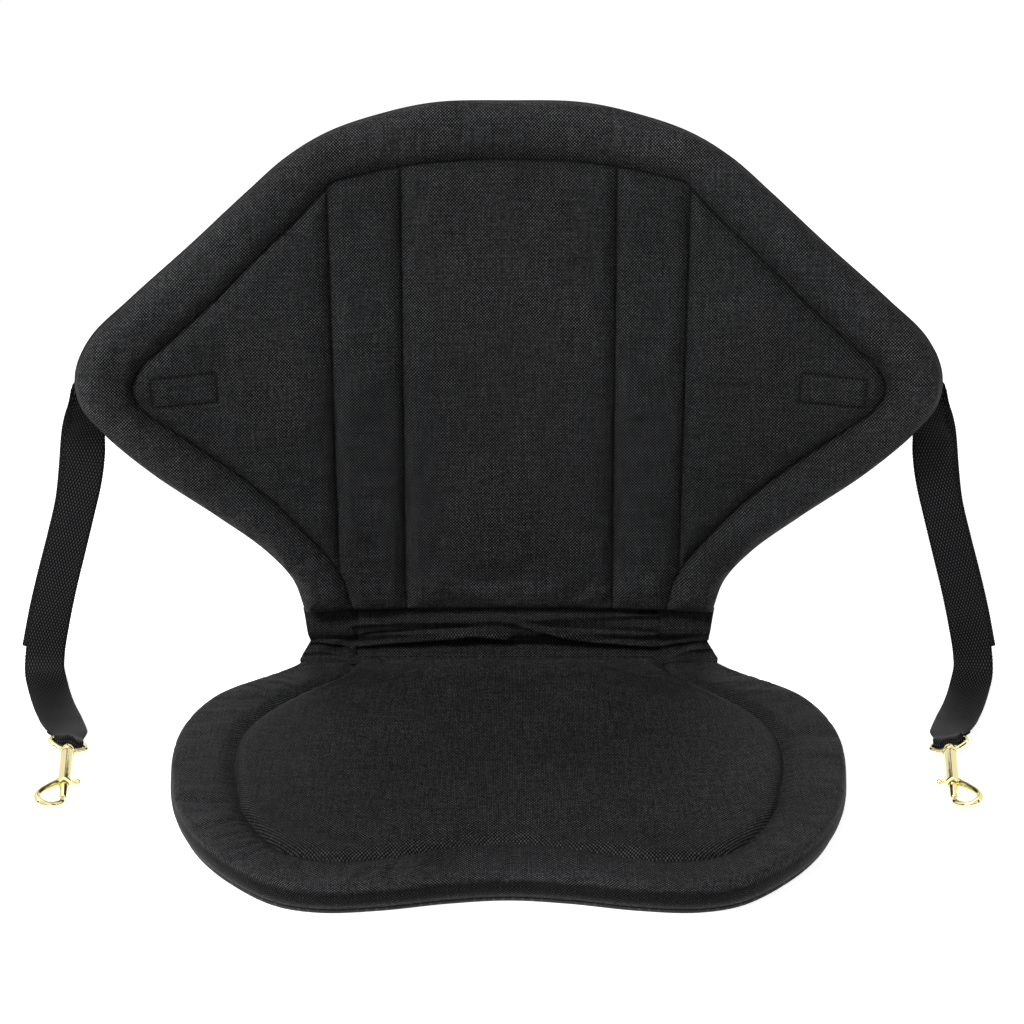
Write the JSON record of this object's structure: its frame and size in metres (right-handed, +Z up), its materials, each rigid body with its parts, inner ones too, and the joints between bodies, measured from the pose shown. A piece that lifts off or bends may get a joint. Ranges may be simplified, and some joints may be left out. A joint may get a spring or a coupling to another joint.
{
  "type": "kayak seat",
  "caption": "Padded kayak seat with a quilted wing backrest joined to a contoured seat pad by a cloth fold, and two webbing straps with bolt snap hooks.",
  "frame": {"origin": "centre of the seat pad's flat underside, on the surface it stands on", "axes": "+Z up from the underside, +X along the width towards the sitter's left, which is the viewer's right from the front, front edge of the seat towards -Y"},
  "size_m": [0.6272, 0.3395, 0.3603],
  "materials": {
    "back_cloth": "black twill-woven polyester",
    "seat_cloth": "black fine twill polyester over moulded foam",
    "underside_cloth": "black non-slip coated cloth",
    "webbing": "black plain-woven webbing",
    "slide_plastic": "black acetal, satin",
    "stay_plastic": "grey polythene",
    "gold_plate": "pale gold plating, polished",
    "spring_wire": "bright spring wire"
  },
  "bodies": {
    "seat": {"seat_rim": "seat_cloth", "seat_center_pad": "seat_cloth", "seat_base": "underside_cloth", "back_rim": "back_cloth", "back_center_pad": "back_cloth", "back_channel_pad_left": "back_cloth", "back_channel_pad_right": "back_cloth", "back_wing_pad_left": "back_cloth", "back_wing_pad_right": "back_cloth", "back_board": "back_cloth", "hinge_web": "back_cloth", "back_stay_left": "stay_plastic", "back_stay_right": "stay_plastic", "anchor_strap_left": "webbing", "anchor_strap_right": "webbing", "strap_left": "webbing", "strap_right": "webbing", "ladder_lock_left": "slide_plastic", "ladder_lock_right": "slide_plastic"},
    "eye_left": {"hook_eye_left": "gold_plate"},
    "hook_left": {"hook_body_left": "gold_plate", "hook_spring_left": "spring_wire"},
    "bolt_left": {"hook_bolt_left": "gold_plate"},
    "eye_right": {"hook_eye_right": "gold_plate"},
    "hook_right": {"hook_body_right": "gold_plate", "hook_spring_right": "spring_wire"},
    "bolt_right": {"hook_bolt_right": "gold_plate"}
  },
  "joints": [
    {"name": "eye_swing_left", "type": "hinge", "parent": "seat", "child": "eye_left", "pos_m": [-0.258, 0.03098, 0.0135], "axis": [-0.9264, -0.1735, 0.3341], "range_deg": [-5, 75]},
    {"name": "hook_swivel_left", "type": "hinge", "parent": "eye_left", "child": "hook_left", "pos_m": [-0.25691, 0.02218, 0.01194], "axis": [0.1205, -0.9774, -0.1734], "continuous": true},
    {"name": "bolt_slide_left", "type": "slide", "parent": "hook_left", "child": "bolt_left", "axis": [-0.1205, 0.9774, 0.1734], "range_m": [0, 0.009], "stiffness_N_per_m": 400, "springref_m": -0.006, "deforming": ["hook_spring_left"]},
    {"name": "eye_swing_right", "type": "hinge", "parent": "seat", "child": "eye_right", "pos_m": [0.258, 0.03098, 0.0135], "axis": [-0.9264, 0.1735, -0.3341], "range_deg": [-5, 75]},
    {"name": "hook_swivel_right", "type": "hinge", "parent": "eye_right", "child": "hook_right", "pos_m": [0.25691, 0.02218, 0.01194], "axis": [-0.1205, -0.9774, -0.1734], "continuous": true},
    {"name": "bolt_slide_right", "type": "slide", "parent": "hook_right", "child": "bolt_right", "axis": [0.1205, 0.9774, 0.1734], "range_m": [0, 0.009], "stiffness_N_per_m": 400, "springref_m": -0.006, "deforming": ["hook_spring_right"]}
  ]
}
